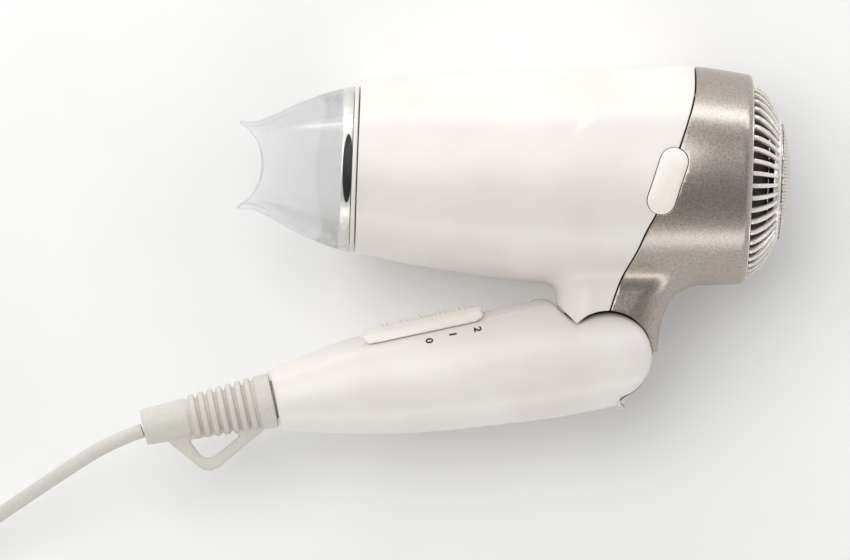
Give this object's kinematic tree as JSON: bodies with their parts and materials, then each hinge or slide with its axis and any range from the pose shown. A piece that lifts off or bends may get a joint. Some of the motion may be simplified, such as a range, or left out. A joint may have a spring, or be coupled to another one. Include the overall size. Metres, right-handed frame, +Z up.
{
  "type": "hair dryer",
  "caption": "Folding travel hair dryer lying on its side: round barrel with clear nozzle and vaned intake, hinged handle with slide switch, hang loop and stored cord.",
  "frame": {"origin": "middle of the dryer's footprint, on the surface that it lies on, without its cord", "axes": "+X along the air duct from the nozzle to the intake, +Y from the folded handle to the barrel, +Z up from the surface"},
  "size_m": [0.3901, 0.2177, 0.077],
  "materials": {
    "pearl_abs": "glossy pearl",
    "satin_silver": "satin metallic paint",
    "bright_grille": "satin silver white",
    "clear_polycarbonate": "clear",
    "grey_pvc": "matte",
    "white_abs": "fine matte",
    "black_heatproof": "matte",
    "mica": "satin",
    "resistance_wire": "bare",
    "zinc_steel": "zinc plated",
    "nickel_brass": "nickel plated",
    "amber_pbt": "satin",
    "circuit_board": "satin"
  },
  "bodies": {
    "barrel": {"front_shell": "pearl_abs", "rear_shell": "satin_silver", "barrel_screws": "zinc_steel", "intake_grille": "bright_grille", "filter_cap": "amber_pbt", "motor_duct": "black_heatproof", "motor_can": "zinc_steel", "motor_end_bell": "zinc_steel", "rectifier_board": "circuit_board", "diodes": "black_heatproof", "mica_tube": "mica", "mica_cross": "mica", "heating_coil": "resistance_wire", "thermostat": "zinc_steel", "thermal_fuse": "nickel_brass", "outlet_collar": "black_heatproof", "outlet_guard": "black_heatproof", "hinge_knuckle": "black_heatproof", "button_switch": "black_heatproof", "button_spring": "resistance_wire", "barrel_wires": "white_abs"},
    "fan": {"fan_impeller": "white_abs", "motor_shaft": "zinc_steel"},
    "nozzle": {"nozzle": "clear_polycarbonate"},
    "button": {"side_button": "white_abs"},
    "handle": {"handle_shell_near": "pearl_abs", "handle_shell_far": "pearl_abs", "handle_screws": "zinc_steel", "hinge_pin": "zinc_steel", "hinge_washer": "zinc_steel", "detent_spring": "resistance_wire", "switch_body": "black_heatproof", "switch_terminals": "nickel_brass", "suppressor_capacitor": "white_abs", "strain_relief": "grey_pvc", "cord_clamp": "black_heatproof", "clamp_screws": "zinc_steel", "cord_end": "grey_pvc", "handle_wires": "white_abs", "cord_tube": "grey_pvc", "cord_coil": "grey_pvc", "coil_tie": "black_heatproof", "cord_tail": "grey_pvc", "plug_body": "grey_pvc", "plug_relief": "grey_pvc", "plug_pins": "nickel_brass"},
    "slider": {"slider_cap": "white_abs", "slider_carriage": "white_abs"}
  },
  "joints": [
    {"name": "handle_fold", "type": "hinge", "parent": "barrel", "child": "handle", "pos_m": [0.0507, -0.028, 0.03814], "axis": [0, 0, 1], "range_deg": [0, 76]},
    {"name": "switch_slide", "type": "slide", "parent": "handle", "child": "slider", "axis": [0.9699, 0.2436, 0], "range_m": [0, 0.016]},
    {"name": "nozzle_turn", "type": "hinge", "parent": "barrel", "child": "nozzle", "pos_m": [-0.041, 0.0339, 0.03814], "axis": [1, 0, 0], "continuous": true},
    {"name": "fan_spin", "type": "hinge", "parent": "barrel", "child": "fan", "pos_m": [0.069, 0.0351, 0.03814], "axis": [1, 0, 0], "continuous": true},
    {"name": "button_press", "type": "slide", "parent": "barrel", "child": "button", "axis": [0, 0, -1], "range_m": [0, 0.001], "stiffness_N_per_m": 600, "springref_m": -0.0005, "deforming": ["button_spring"]}
  ]
}
